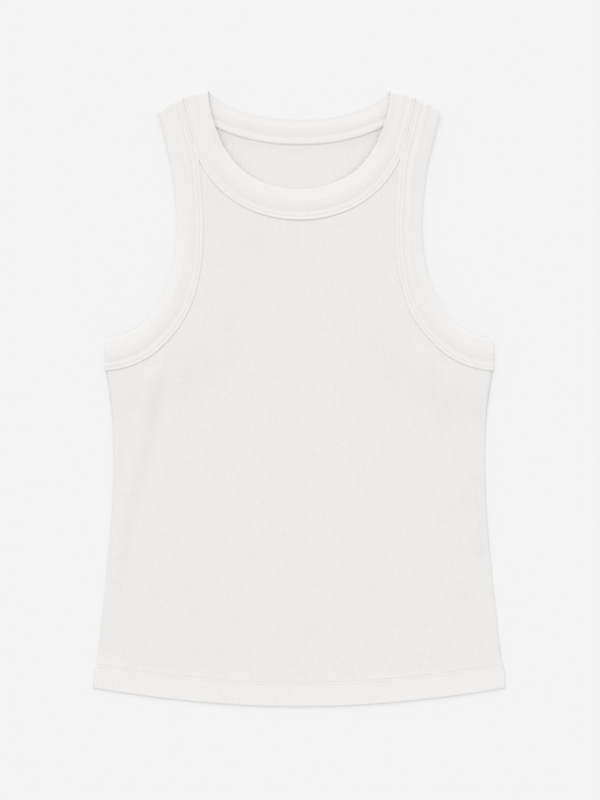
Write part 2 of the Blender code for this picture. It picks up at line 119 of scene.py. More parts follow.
# A panel's rows of points, by height over the hem's edge
HEM_ROWS = [
    0.0, 0.25, 0.7, 1.4, 3.0, 7.0, 11.0, 15.0, 17.5, 18.9, 19.5, 20.0, 20.5, 21.1, 21.7,
    22.2, 22.7, 23.3, 24.0, 25.2, 27.0, 30.0,
]  # fmt: skip
ROW_STEP = 4.6
COARSE = 4  # every fourth column and row is on the plain face of a panel
HEM_SEAMS = (19.5, 22.2)
SIDE_REACH = 2.0  # how far in the front rounds down to its side and hem edges
HEM_REACH = 0.9
HEM_OUT = 1.7  # how far the hem's soft edge spreads past its solid
HEM_OUT_REACH = 8.0
EDGE_HEIGHT = 1.2
THINNEST = 0.2  # the front's thickness where it rounds down to its edges
BACK_EDGE_REACH = 1.6  # how far in the back rounds down to its edges, and by how much
BACK_EDGE_DROP = 0.6
HEM_UNDER = 0.4  # how much the back's hem lifts the front: under its own step, so they overlap there
HEM_UNDER_SLOPE = 14.0
HEM_STEP = 0.3  # how much the turned-up hem shows on the front
HEM_STEP_SLOPE = 6.0
HEM_PULL = 0.7  # the share of a whole pull that the hem's lower stitch row has

# A band's section, from the seam end of its outside all the way round: which end a point is
# measured from, how far, its face, its height over the inside, its share of a rib's height,
# and how deep the thread pulls it in.
SECTION = [
    ("seam", -0.9, "slot", 2.15, 0.0, 0.0),
    ("seam", -0.95, "out", 2.45, 0.3, 0.0),
    ("seam", -0.8, "out", 2.8, 0.5, 0.0),
    ("seam", -0.4, "out", 3.02, 0.6, 0.0),
    ("seam", 0.5, "out", 3.12, 0.6, 0.0),
    ("seam", 1.6, "out", 3.06, 0.4, 0.02),
    ("seam", 2.5, "out", 2.92, 0.2, 0.1),
    ("seam", 3.2, "out", 3.0, 0.4, 0.02),
    ("seam", 4.1, "out", 3.06, 0.8, 0.0),
    ("seam", 5.0, "out", 3.04, 0.8, 0.0),
    ("seam", 5.5, "out", 2.92, 0.4, 0.04),
    ("seam", 6.0, "out", 2.72, 0.2, 0.1),
    ("seam", 6.7, "out", 2.64, 0.5, 0.02),
    ("seam", 7.9, "out", 2.85, 1.0, 0.0),
    ("seam", 9.6, "out", 3.42, 1.0, 0.0),
    ("seam", 11.3, "out", 3.68, 1.0, 0.0),
    ("edge", 10.0, "out", 2.98, 1.0, 0.0),
    ("edge", 8.0, "out", 2.66, 1.0, 0.0),
    ("edge", 5.5, "out", 2.38, 1.0, 0.0),
    ("edge", 3.4, "out", 2.15, 1.0, 0.0),
    ("edge", 1.8, "out", 1.98, 1.0, 0.0),
    ("edge", 0.7, "out", 1.83, 1.0, 0.0),
    ("edge", 0.15, "out", 1.6, 1.0, 0.0),
    ("edge", 0.0, "out", 1.1, 1.0, 0.0),
    ("edge", 0.3, "in", 0.3, 1.0, 0.0),
    ("edge", 1.1, "in", 0.08, 1.0, 0.0),
    ("edge", 3.5, "in", 0.0, 1.0, 0.0),
    ("edge", 8.0, "in", 0.0, 1.0, 0.0),
    ("seam", 11.5, "in", 0.0, 1.0, 0.0),
    ("seam", 8.5, "in", 0.0, 1.0, 0.0),
    ("seam", 6.7, "in", 0.0, 0.7, 0.02),
    ("seam", 6.0, "in", 0.0, 0.5, 0.08),
    ("seam", 5.3, "in", 0.0, 0.7, 0.02),
    ("seam", 3.5, "in", 0.0, 0.8, 0.0),
    ("seam", 1.0, "in", 0.0, 0.6, 0.0),
    ("seam", -0.6, "in", 0.08, 0.5, 0.0),
    ("seam", -0.9, "in", 0.3, 0.3, 0.0),
    ("seam", -0.9, "slot", 0.85, 0.0, 0.0),
    ("seam", 8.0, "slot", 0.85, 0.0, 0.0),
    ("edge", 1.4, "slot", 0.85, 0.0, 0.0),
    ("edge", 1.4, "slot", 1.2, 0.0, 0.0),
    ("seam", 11.0, "slot", 1.35, 0.0, 0.0),
    ("seam", 8.2, "slot", 1.95, 0.0, 0.0),
    ("seam", 6.6, "slot", 2.12, 0.0, 0.0),
]
OUTER_ROW = 2.5  # the stitch rows' distances from the seam edge
INNER_ROW = 6.0
NECK_INNER_ROW = 5.9
ARM_INNER_ROW = 6.8
OVERLAP = 0.95  # how far a band's outer face reaches past its seam
STRAP_OVERLAP_CUT = 0.85  # how much of that overlap the straps lose, having no panel under them
PRESSED_BACK = 0.75  # how much of the seam edge's press-down comes back on the straps
SHOULDER_STRETCH = 0.85  # how far the folds reach out, against a fold as round as it is high
UNDERARM_STRETCH = 0.7
FOLD_SHAPE = 0.5  # 1 makes the folds round, less makes them squarer
LIP = 0.5  # how far the neckband's seam edge curls up at the bottom of the neck
LIP_SPAN = 60.0  # how far from the middle line the curl has faded out
STRAP_OUT = 0.9  # how much wider the bands spread where they run side by side
STRAP_LIFT = 2.0  # how far the neckband's free edge stands off the back beside the straps
STRAP_LIFT_REACH = 9.0
FREE_EDGE_ROUND = 0.45  # how much fuller that edge is at its fold
FREE_EDGE_REACH = 3.0
SHOULDER_BOW = 2.7  # how far the shoulder folds bulge out at their middle
BOW_REACH = 14.0
STRAP_DIP = [(121.5, 279.0), (118.5, 262.0), (116.5, 250.0)]  # a soft trough in each strap
DIP_DEPTH = 0.5
DIP_REACH = 3.6
BACK_NECK_OUT = 0.1  # how much further the back neck's edge stands, at its middle
PANEL_RISE = 1.05  # how much a panel's edge lifts to enter a band
STRAP_PULL = 0.6  # how much of its pull a stitch row keeps on the straps
PIT = 0.15  # how much deeper the cloth is pulled in at a needle hole
THREAD_SIDES = 5
BAND_THREAD = 0.2  # the threads' radii
HEM_THREAD = 0.3
FLOOR_CLEAR = 0.02  # threads are pressed flat this far above the floor

# Troughs and ridges of the front: (x, y) points along each, reach to each side, height
LEFT_RIDGE = [
    (-134.5, 49.0), (-141.5, 8.6), (-152.5, -50.4), (-162.0, -91.0), (-173.0, -150.2), (-182.0, -209.1),
]  # fmt: skip
RIGHT_TROUGH = [
    (128.0, 49.0), (133.6, 1.6), (141.0, -46.6), (148.3, -83.4), (161.0, -149.6), (171.5, -186.5),
]  # fmt: skip
RIGHT_INNER_RIDGE = [
    (114.0, 49.0), (119.6, 1.6), (127.0, -46.6), (134.0, -83.4), (147.0, -149.6), (157.0, -186.0),
]  # fmt: skip
FRONT_FOLDS = [
    (LEFT_RIDGE, 14.0, 2.5),
    ([(-119.0, 60.0), (-125.0, 0.0), (-137.0, -60.0), (-149.0, -110.0)], 11.0, -0.6),
    (RIGHT_TROUGH, 9.0, -0.7),
    ([(138.0, 30.0), (144.0, 0.0), (152.0, -46.6), (159.5, -83.4), (171.0, -140.0)], 11.0, 2.7),
    (RIGHT_INNER_RIDGE, 12.0, 2.1),
    ([(128.5, 38.5), (150.0, 21.0), (172.5, 8.6)], 5.0, -0.6),
    ([(139.5, 31.0), (160.0, 10.0), (177.0, -4.0)], 6.0, 0.5),
    ([(-131.0, 33.0), (-152.0, 18.0), (-174.0, 12.0)], 5.0, -0.3),
    ([(-139.0, 26.0), (-158.0, 2.0), (-172.0, -12.0)], 6.0, 0.2),
]
FOLD_SWELL = 0.25  # how much higher a fold is at its middle than at its ends
HEM_CALM = 110.0  # over which the folds and waves come in above the hem
SEAM_CALM = 16.0  # and away from the bands
SIDE_CALM = 18.0  # and from the sides, where they keep some of their height
SIDE_FLATTENED = 0.6
# Shallow waves of the front: direction in degrees, length, height, shift
FRONT_WAVES = [
    (12.0, 83.0, 0.07, 0.3),
    (-28.0, 61.0, 0.05, 1.9),
    (71.0, 97.0, 0.08, 4.1),
    (104.0, 56.0, 0.04, 0.8),
    (143.0, 71.0, 0.05, 2.6),
]

# Loops and colours of the knit
BODY_COLOUR = (0.820, 0.808, 0.799)
BACK_COLOUR = (0.831, 0.820, 0.812)
BAND_COLOUR = (0.849, 0.838, 0.831)
THREAD_COLOUR = (0.92, 0.91, 0.90)
COURSE = 1.1  # the length of one loop along its rib
LOOP_SLANT = 7.0  # how far the loops lean off a rib's crest, as a turn of their wave
HOLE_PAINTED_SHADE = 0.25  # painted shade: how much darker pulled-in cloth, in stitch grooves and needle holes, is painted, for each millimetre
CLOUD_SHARE = 0.42  # how strong the broad mottling is, against the fine

# Floor, light and camera
FLOOR_COLOUR = (0.43, 0.429, 0.429, 1.0)
FLOOR_GLOW_COLOUR = (1.0, 0.998, 0.998, 1.0)
FLOOR_GLOW = 0.458
FLOOR_REACH = 6.0  # metres to each side
FLOOR_TOP = -0.00005
AROUND = 0.79  # the strength of the light from all round
LAMP = 1.2
LAMP_SPREAD = 50.0
LAMP_HEIGHT = 43.0  # degrees above the floor
LAMP_TURN = 12.0
CAMERA_PLACE = (0.00066, -0.0022, 4.2)
CAMERA_LONG_SIDE = 0.756
CAMERA_SENSOR = 36.0


def smooth_curve(knots, level_end=False, heading=None):
    """A dense path through the knots, with a set heading at its start if one is given.

    level_end makes it cross the middle line squarely.
    """
    points = np.array(knots, float)
    step = np.hypot(*np.diff(points, axis=0).T)
    slope = np.diff(points, axis=0) / step[:, None]
    tangent = np.empty_like(points)
    weight = step[:, None]
    tangent[1:-1] = (slope[:-1] * weight[1:] + slope[1:] * weight[:-1]) / (weight[:-1] + weight[1:])
    tangent[0] = 2.0 * slope[0] - tangent[1] if heading is None else heading
    tangent[-1] = (-1.0, 0.0) if level_end else 2.0 * slope[-1] - tangent[-2]
    t = np.linspace(0.0, 1.0, 40)[:, None]
    pieces = []
    for i, h in enumerate(step):
        pieces.append(
            (2 * t**3 - 3 * t**2 + 1) * points[i]
            + (t**3 - 2 * t**2 + t) * h * tangent[i]
            + (3 * t**2 - 2 * t**3) * points[i + 1]
            + (t**3 - t**2) * h * tangent[i + 1]
        )
    path = np.concatenate(pieces)
    moved = np.hypot(*np.diff(path, axis=0).T) > 1e-6
    return path[np.concatenate([[True], moved])]


def length_of(path):
    return np.hypot(*np.diff(path, axis=0).T).sum()


def resampled(path, count):
    """Evenly spaced points along a path."""
    along = np.concatenate([[0.0], np.cumsum(np.hypot(*np.diff(path, axis=0).T))])
    at = np.linspace(0.0, along[-1], count)
    return np.column_stack([np.interp(at, along, path[:, 0]), np.interp(at, along, path[:, 1])])


def trimmed(path, origin, outward, reach):
    """The part of a path that stays reach inside the line through origin, with its end on it."""
    depth = (path - origin) @ outward + reach
    inside = np.flatnonzero(depth <= 0.0)
    first, last = inside[0], inside[-1]
    ends = [path[first : last + 1]]
    if first > 0:
        share = depth[first - 1] / (depth[first - 1] - depth[first])
        ends.insert(0, [path[first - 1] + share * (path[first] - path[first - 1])])
    if last < len(path) - 1:
        share = depth[last] / (depth[last] - depth[last + 1])
        ends.append([path[last] + share * (path[last + 1] - path[last])])
    return np.concatenate(ends)


def distance_to(path, points):
    """The distance from each point to a path of straight steps."""
    nearest = np.full(len(points), np.inf)
    for start, end in zip(path, path[1:]):
        step = end - start
        away = points - start
        share = np.clip(away @ step / (step @ step), 0.0, 1.0)
        nearest = np.minimum(nearest, np.hypot(*(away - share[:, None] * step).T))
    return nearest


def ease(share):
    """A smooth fall from 1 at 0 to 0 at 1."""
    share = np.clip(share, 0.0, 1.0)
    return 1.0 - share * share * (3.0 - 2.0 * share)


def right_half(points):
    """Points folded over the middle line onto its right side."""
    return np.column_stack([np.abs(points[:, 0]), points[:, 1]])


def smoothed(values, reach):
    """Values averaged over their neighbours, with both ends kept."""
    line = np.linspace(values[0], values[-1], len(values))
    rest = values - line
    kernel = np.hanning(2 * reach + 3)[1:-1]
    padded = np.concatenate([-rest[reach:0:-1], rest, -rest[-2 : -reach - 2 : -1]])
    return line + np.convolve(padded, kernel / kernel.sum(), "valid")


SHOULDER = np.array(SHOULDER_OUTER)
ALONG_SHOULDER = np.array(SHOULDER_INNER) - SHOULDER
ALONG_SHOULDER /= np.hypot(*ALONG_SHOULDER)
OVER_SHOULDER = np.array([ALONG_SHOULDER[1], -ALONG_SHOULDER[0]])
UNDERARM = np.array([UNDERARM_X, 0.0])
OVER_UNDERARM = np.array([1.0, 0.0])


def paired(edge, seam, count):
    """Stations of a band: evenly spaced edge points, each with the seam point straight across."""
    edge = resampled(edge, count)
    seam = resampled(seam, 3000)
    across = np.array([np.argmin(np.hypot(*(seam - point).T)) for point in edge], float)
    t = np.linspace(0.0, 1.0, count)
    across -= across[0] * ease(t / 0.3)
    across += (len(seam) - 1 - across[-1]) * ease((1.0 - t) / 0.3)
    across = smoothed(np.maximum.accumulate(across), max(1, count // 24))
    places = np.arange(len(seam))
    seam = np.column_stack([np.interp(across, places, seam[:, k]) for k in (0, 1)])
    return np.stack([edge, seam], axis=1)


def band_half(edge, middle, seam, level_end, shift, rib=None, count=None):
    """One face of a band from the shoulder to the middle line or to the underarm."""
    edge = trimmed(smooth_curve(edge, level_end), SHOULDER, OVER_SHOULDER, FOLD_REACH)
    down = smooth_curve(middle)
    heading = (down[-1] - down[-2]) / np.hypot(*(down[-1] - down[-2]))
    seam = smooth_curve([middle[-1], *seam], level_end, heading)
    seam = np.concatenate([down[:-1], seam]) + np.array([shift, 0.0])
    seam = trimmed(seam, SHOULDER, OVER_SHOULDER, FOLD_REACH)
    if level_end:
        edge[-1, 0] = seam[-1, 0] = 0.0
    else:
        edge = trimmed(edge, UNDERARM, OVER_UNDERARM, FOLD_REACH)
        seam = trimmed(seam, UNDERARM, OVER_UNDERARM, FOLD_REACH)
    if count is None:
        middle_length = 0.5 * (length_of(edge) + length_of(seam))
        count = PER_RIB * round(middle_length / rib) + 1
    return paired(edge, seam, count)


NECK_FRONT_CURVES = (FRONT_NECK_EDGE, FRONT_STRAP_MIDDLE, FRONT_NECK_SEAM, True, -HALF_GAP)
NECK_BACK_CURVES = (BACK_NECK_EDGE, BACK_STRAP_MIDDLE, BACK_NECK_SEAM, True, -HALF_GAP)
ARM_FRONT_CURVES = (FRONT_ARM_EDGE, FRONT_STRAP_MIDDLE, FRONT_ARM_SEAM, False, HALF_GAP)
ARM_BACK_CURVES = (BACK_ARM_EDGE, BACK_STRAP_MIDDLE, BACK_ARM_SEAM, False, HALF_GAP)
NECK_FRONT = band_half(*NECK_FRONT_CURVES, rib=NECK_RIB)
NECK_BACK = band_half(*NECK_BACK_CURVES, rib=NECK_RIB)
ARM_FRONT = band_half(*ARM_FRONT_CURVES, rib=BAND_RIB)
ARM_BACK = band_half(*ARM_BACK_CURVES, rib=BAND_RIB)
# The solids' own stations, which set how the front lies over the back
NECK_BACK_LINE = band_half(*NECK_BACK_CURVES, count=9).mean(axis=1)
ARM_BACK_LINE = band_half(*ARM_BACK_CURVES, count=16).mean(axis=1)


def hem_height(points):
    """How far above the hem's edge each point lies."""
    share = points[:, 0] / HEM_HALF
    return points[:, 1] + HALF_LENGTH - HEM_CORNER_RISE * share * share


def hem_share(points):
    return ease((hem_height(points) - HEM_DEPTH) / HEM_SLOPE)


def back_top(points):
    """The top of what the front lies on: the back panel, its hem and its bands, smoothed."""
    over_band = np.zeros(len(points))
    for line, slope in ((NECK_BACK_LINE, NECK_LIFT_SLOPE), (ARM_BACK_LINE, ARM_LIFT_SLOPE)):
        away = distance_to(line, right_half(points)) - BAND_HALF - LIFT_SHELF
        over_band = np.maximum(over_band, ease(away / slope))
    under = HEM_UNDER * ease((hem_height(points) - HEM_DEPTH) / HEM_UNDER_SLOPE)
    return CLOTH + (BAND_THICK - CLOTH) * over_band + under


def support(points):
    """What the front lies on: back_top, and the floor beyond the back's armhole edges."""
    half = right_half(points)
    edge = ARM_BACK[::-8, 0]
    beyond = half[:, 0] - np.interp(half[:, 1], edge[:, 1], edge[:, 0])
    inside = (half[:, 1] > edge[0, 1]) & (half[:, 1] < edge[-1, 1])
    away = np.where(inside & (beyond > 0.0), distance_to(edge, half), 0.0)
    return back_top(points) * ease((away - 1.0) / BACK_EDGE_SLOPE)


def slot_rise(points, neck, arm):
    """How much higher a panel lies where it enters its slots than on a flat surface."""
    thin = slice(None, None, 8)
    half = right_half(points)
    away = np.min([distance_to(band[thin, 1], half) for band in (neck, arm)], axis=0)
    return PANEL_RISE * np.where(under_band(half, neck, arm), 1.0, ease((away - OVERLAP) / RAMP))


def under_band(half, neck, arm):
    """Which points of the right half are past a seam, on the bands' side."""
    held = np.zeros(len(half), bool)
    for band in (neck, arm):
        outline = np.concatenate([band[::8, 0], band[::-8, 1]])
        after = np.roll(outline, -1, axis=0)
        for (x0, y0), (x1, y1) in zip(outline, after):
            if y0 == y1:
                continue
            rising = (y0 > half[:, 1]) != (y1 > half[:, 1])
            crossed = half[:, 0] < x0 + (half[:, 1] - y0) / (y1 - y0) * (x1 - x0)
            held ^= rising & crossed
    return held


def fold_height(points):
    """How much the front stands off the back, and its folds and waves, both fading at its edges."""
    height = np.zeros(len(points))
    for path, reach, rise in FRONT_FOLDS:
        path = smooth_curve(path)[::6]
        along = np.clip((points[:, 1] - path[-1, 1]) / (path[0, 1] - path[-1, 1]), 0.0, 1.0)
        swell = 1.0 - FOLD_SWELL + FOLD_SWELL * np.sin(math.pi * along)
        height += rise * swell * ease(distance_to(path, points) / reach)
    for turn, length, rise, shift in FRONT_WAVES:
        way = np.array([math.cos(math.radians(turn)), math.sin(math.radians(turn))])
        height += rise * np.sin(points @ way * 2.0 * math.pi / length + shift)
    fade = 1.0 - ease((hem_height(points) - HEM_DEPTH - HEM_SLOPE) / HEM_CALM)
    seams = (ARM_FRONT[::8, 1], NECK_FRONT[::8, 1])
    from_seam = np.min([distance_to(seam, right_half(points)) for seam in seams], axis=0)
    inward = (SIDE_TOP - np.abs(points[:, 0])) / SIDE_CALM
    side = 1.0 - SIDE_FLATTENED * ease(inward)
    return PANEL_RISE * fade * side, height * fade * side * (1.0 - ease((from_seam - RAMP) / SEAM_CALM))


def cloth_object(name, points, faces, knit, material):
    """An object from points in millimetres. knit is (rib, course, pull) at each face corner; the material
    paints shade in the rib valleys and where the cloth is pulled in.
    """
    mesh = bpy.data.meshes.new(name)
    mesh.from_pydata(points * np.array([MM, MM, FLAT * MM]), [], faces)
    mesh.shade_smooth()
    if knit is not None:
        layer = mesh.attributes.new("knit", "FLOAT_VECTOR", "CORNER")
        layer.data.foreach_set("vector", np.ascontiguousarray(knit, np.float32).ravel())
    mesh.materials.append(material)
    item = bpy.data.objects.new(name, mesh)
    bpy.context.scene.collection.objects.link(item)
    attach(item, "root")
    return item


def section_rows(inner_row):
    """The section's columns as arrays, with its inner stitch row set to a band's own."""
    ends = np.array([end == "seam" for end, *_ in SECTION])
    numbers = np.array([(distance, *rest) for _, distance, _, *rest in SECTION])
    distance, height, rib, pull = numbers.T
    places = [-40.0, OUTER_ROW, INNER_ROW, 40.0]
    moved = [-40.0, OUTER_ROW, inner_row, 40.0 + inner_row - INNER_ROW]
    distance = np.where(ends, np.interp(distance, places, moved), distance)
    return ends, distance, height, rib, pull


def strap_share(seam_y, strap_end):
    """1 where two bands run side by side on the strap, 0 where a panel lies between them."""
    return 1.0 - ease((seam_y - strap_end + 10.0) / 18.0)


def whole_height(ends, distance, height):
    """The band's whole thickness at each point of its section, whichever face the point is on."""
    out = np.array([face == "out" for _, _, face, *_ in SECTION])
    whole = np.empty(len(SECTION))
    for i in range(len(SECTION)):
        alike = out & (ends == ends[i])
        order = np.argsort(distance[alike])
        whole[i] = np.interp(distance[i], distance[alike][order], height[alike][order])
    return np.where(ends | (distance > 1.0), whole, BAND_THIN)


def band_stations(front, back, folds, inner_row, back_out, edge_lift):
    """Section points of a band from the end of its front half, round its fold or folds, to its back.

    Gives the front half's points, the back half's, and those of each fold by its name. folds lists
    the folds: the name, which end of the halves it joins, the direction out over it, its ribs and
    how far it reaches. back_out is how far the back half's edge stands out at each of its stations,
    and edge_lift is how much the free edge's lift and the seam's lip count.
    """
    ends, distance, height, _, _ = section_rows(inner_row)
    whole = whole_height(ends, distance, height)

    def plan_of(pairs, strap_end, out):
        edge, seam = pairs[:, 0], pairs[:, 1]
        width = np.hypot(*(seam - edge).T)[:, None]
        strap = strap_share(seam[:, 1], strap_end)[:, None]
        past = np.where(ends & (distance < 0.0), distance, 0.0)[None] * (1.0 - STRAP_OVERLAP_CUT * strap)
        from_seam = width - np.maximum(distance, 0.0)[None] - past
        from_edge = distance[None] - out[:, None]
        inset = np.where(ends[None], from_seam, from_edge)
        return edge[:, None] + ((seam - edge) / width)[:, None] * inset[..., None], strap

    front_out = STRAP_OUT * strap_share(front[:, 1, 1], FRONT_STRAP_MIDDLE[-1][1])
    front_plan, strap = plan_of(front, FRONT_STRAP_MIDDLE[-1][1], front_out)
    pressed = np.where(ends & (distance < 0.0) & (height > 2.0), 3.0 - height, 0.0)
    free = ~ends
    fuller = FREE_EDGE_ROUND * ease(distance / FREE_EDGE_REACH)
    raised = np.where(free & (height > 1.0), fuller, 0.0)
    raised = raised + np.where(free, STRAP_LIFT * ease(distance / STRAP_LIFT_REACH), 0.0)
    dip = DIP_DEPTH * ease(distance_to(smooth_curve(STRAP_DIP), front_plan.reshape(-1, 2)) / DIP_REACH)
    dip = dip.reshape(front_plan.shape[:2]) * (height > 1.5)
    height_here = height + PRESSED_BACK * pressed * strap + edge_lift * raised * strap - dip
    lip = LIP * ease((distance + 0.9) / 3.2) * (ends & (height > 2.3))
    height_here = height_here + edge_lift * lip * ease(front[:, 1, :1] / LIP_SPAN)
    back_plan, _ = plan_of(back, BACK_STRAP_MIDDLE[-1][1], back_out)
    lifted = support(front_plan.reshape(-1, 2)).reshape(front_plan.shape[:2]) + GAP + height_here
    front_points = np.concatenate([front_plan, lifted[..., None]], axis=2)
    lowered = np.broadcast_to(whole - height, back_plan.shape[:2])
    back_points = np.concatenate([back_plan, lowered[..., None]], axis=2)
    inner = 0.5 * (FRONT_LEVEL - whole)
    curls = {}
    for fold, end, outward, ribs, stretch in folds:
        count = PER_RIB * ribs
        curl = []
        for step in range(1, count):
            turn = math.pi * step / count
            plan = front_plan[end] + (back_plan[end] - front_plan[end]) * step / count
            out = stretch * math.sin(turn) ** FOLD_SHAPE
            up = math.copysign(abs(math.cos(turn)) ** FOLD_SHAPE, math.cos(turn))
            plan = plan + ((inner + height) * out)[:, None] * outward
            curl.append(np.column_stack([plan, whole + inner + (inner + height) * up]))
        curls[fold] = np.array(curl)
    return front_points, back_points, curls


def bowed(points):
    """Band points near the shoulder pushed out, so that its fold bulges between its two ends."""
    half = right_half(points[..., :2].reshape(-1, 2)) - SHOULDER
    width = np.hypot(*(np.array(SHOULDER_INNER) - SHOULDER))
    along = np.clip(half @ ALONG_SHOULDER / width, 0.0, 1.0)
    push = SHOULDER_BOW * (1.0 - (2.0 * along - 1.0) ** 2) * ease(-(half @ OVER_SHOULDER) / BOW_REACH)
    way = OVER_SHOULDER * push.reshape(points.shape[:-1])[..., None]
    way[..., 0] *= np.where(points[..., 0] < 0.0, -1.0, 1.0)
    return points + np.concatenate([way, np.zeros((*points.shape[:-1], 1))], axis=-1)


def grid_normals(points):
    """Outward normals of a closed ring of closed sections."""
    along = np.roll(points, -1, axis=0) - np.roll(points, 1, axis=0)
    around = np.roll(points, -1, axis=1) - np.roll(points, 1, axis=1)
    normal = np.cross(around, along)
    return normal / np.linalg.norm(normal, axis=2, keepdims=True)


def volume_sign(points):
    """1 if a ring's faces, in the order band_object gives them, face outwards."""
    a, b = points, np.roll(points, -1, axis=1)
    c, d = np.roll(b, -1, axis=0), np.roll(points, -1, axis=0)
    total = (a * np.cross(b, c)).sum() + (a * np.cross(c, d)).sum()
    return 1.0 if total > 0.0 else -1.0


def band_object(name, loop, inner_row, one_row, material):
    """A ribbed band from its loop of sections. one_row marks stations that show no inner row.

    Gives the object, and each row's surface points and normals for the stitches.
    """
    ends, distance, height, rib, pull = section_rows(inner_row)
    sign = volume_sign(loop)
    normal = grid_normals(loop) * sign
    stations, around = loop.shape[:2]
    wale = WALE[np.arange(stations) % PER_RIB]
    inner = ends & (np.abs(distance - inner_row) < 1.1)
    pull = np.where(one_row[:, None] & inner[None], 0.0, pull[None])
    pull = pull * np.where(one_row[:, None], STRAP_PULL, 1.0)
    depth = pull + PIT * (1.0 - wale)[:, None] * (pull > 0.05)
    rise = BAND_RIB_HEIGHT * (wale[:, None] - 0.6) * rib[None] - depth
    points = loop + normal * rise[..., None]

    i, k = np.meshgrid(np.arange(stations), np.arange(around), indexing="ij")
    after_i, after_k = (i + 1) % stations, (k + 1) % around
    corners = ((i, k), (i, after_k), (after_i, after_k), (after_i, k))
    faces = np.stack([station * around + place for station, place in corners], 2)
    course = np.concatenate([np.where(ends, distance, 60.0 - distance), [0.0]])
    ribs = np.stack([i, i, i + 1, i + 1], 2) / PER_RIB
    courses = course[np.stack([k, k + 1, k + 1, k], 2)]
    # the pull also darkens the colour, as painted shade in the grooves and needle holes
    pulls = depth.reshape(-1)[faces]
    knit = np.stack([ribs, courses, pulls], -1).reshape(-1, 4, 3)
    faces = faces.reshape(-1, 4)
    if sign < 0.0:
        faces, knit = faces[:, ::-1], knit[:, ::-1]
    item = cloth_object(name, points.reshape(-1, 3), faces.tolist(), knit.reshape(-1, 3), material)
    surface = loop - normal * pull[..., None]
    return item, surface, normal


def stitch_object(name, starts, middles, tips, radius, material):
    """Short threads, each bent from its start over its middle to its tip, none below the floor."""
    count, sides = len(starts), THREAD_SIDES
    path = np.stack([starts, 0.5 * (starts + middles), middles, 0.5 * (middles + tips), tips], 1)
    lift = middles - 0.5 * (starts + tips)
    path[:, 1] += 0.3 * lift
    path[:, 3] += 0.3 * lift
    forward = tips - starts
    forward /= np.linalg.norm(forward, axis=1, keepdims=True)
    upward = lift - (lift * forward).sum(axis=1, keepdims=True) * forward
    upward /= np.linalg.norm(upward, axis=1, keepdims=True)
    sideward = np.cross(forward, upward)
    girth = radius * np.array([0.45, 0.95, 1.0, 0.95, 0.45])
    turn = 2.0 * math.pi * np.arange(sides) / sides
    spoke = np.cos(turn)[:, None] * sideward[:, None] + np.sin(turn)[:, None] * upward[:, None]
    points = path[:, :, None] + girth[None, :, None, None] * spoke[:, None]
    rings = path.shape[1]
    first = np.arange(count) * rings * sides
    points[..., 2] = np.maximum(points[..., 2], FLOOR_CLEAR)
    faces = []
    for ring in range(rings - 1):
        for side in range(sides):
            a, b = ring * sides + side, ring * sides + (side + 1) % sides
            faces.append(np.stack([first + a, first + b, first + b + sides, first + a + sides], 1))
    quads = np.concatenate(faces).tolist()
    last = (rings - 1) * sides
    caps = [[f + s for s in range(sides)][::-1] for f in first.tolist()]
    caps += [[f + last + s for s in range(sides)] for f in first.tolist()]
    return cloth_object(name, points.reshape(-1, 3), quads + caps, None, material)


def row_stitches(surface, normal, shown):
    """Starts, middles and tips of the stitches along one row of points, one over each rib."""
    count = len(surface)
    crest = np.arange(0, count, PER_RIB)
    crest = crest[shown[crest]]
    before, after = (crest - 1) % count, (crest + 1) % count
    starts = 0.7 * surface[before] + 0.3 * surface[(crest - 2) % count]
    tips = 0.7 * surface[after] + 0.3 * surface[(crest + 2) % count]
    out = normal[crest]
    return starts - 0.05 * out, surface[crest] + 0.3 * out, tips - 0.05 * out


def section_place(face, distance):
    """Which point of the section is on a face at a distance from the seam."""
    return next(
        i for i, (end, at, side, *_) in enumerate(SECTION) if (end, at, side) == ("seam", distance, face)
    )


def band_stitches(name, surface, normal, rows, material):
    """The stitches of a band: rows lists (section point, which stations show it)."""
    parts = [row_stitches(surface[:, k], normal[:, k], shown) for k, shown in rows]
    starts, middles, tips = (np.concatenate(part) for part in zip(*parts))
    return stitch_object(name, starts, middles, tips, BAND_THREAD, material)


def mirrored(points):
    return points * np.array([-1.0, 1.0, 1.0])


def neckband(material, thread):
    folds = [("shoulder", 0, OVER_SHOULDER, SHOULDER_RIBS, SHOULDER_STRETCH)]
    back_out = BACK_NECK_OUT * ease(NECK_BACK[:, 0, 0] / 70.0)
    front, back, curls = band_stations(NECK_FRONT, NECK_BACK, folds, NECK_INNER_ROW, back_out, 1.0)
    curl = curls["shoulder"]
    half = np.concatenate([front[::-1], curl, back])
    loop = bowed(np.concatenate([half, mirrored(half[-2:0:-1])]))
    one_row = loop[:, 0, 1] > FRONT_STRAP_MIDDLE[-1][1] - 4.0
    one_row[len(front) + len(curl) : len(loop) - len(front) - len(curl)] = False
    item, surface, normal = band_object("neckband_cloth", loop, NECK_INNER_ROW, one_row, material)
    everywhere = np.ones(len(loop), bool)
    rows = [
        (section_place("out", OUTER_ROW), everywhere),
        (section_place("out", INNER_ROW), ~one_row),
        (section_place("in", INNER_ROW), ~one_row),
    ]
    stitches = band_stitches("neckband_stitches", surface, normal, rows, thread)
    return item, stitches


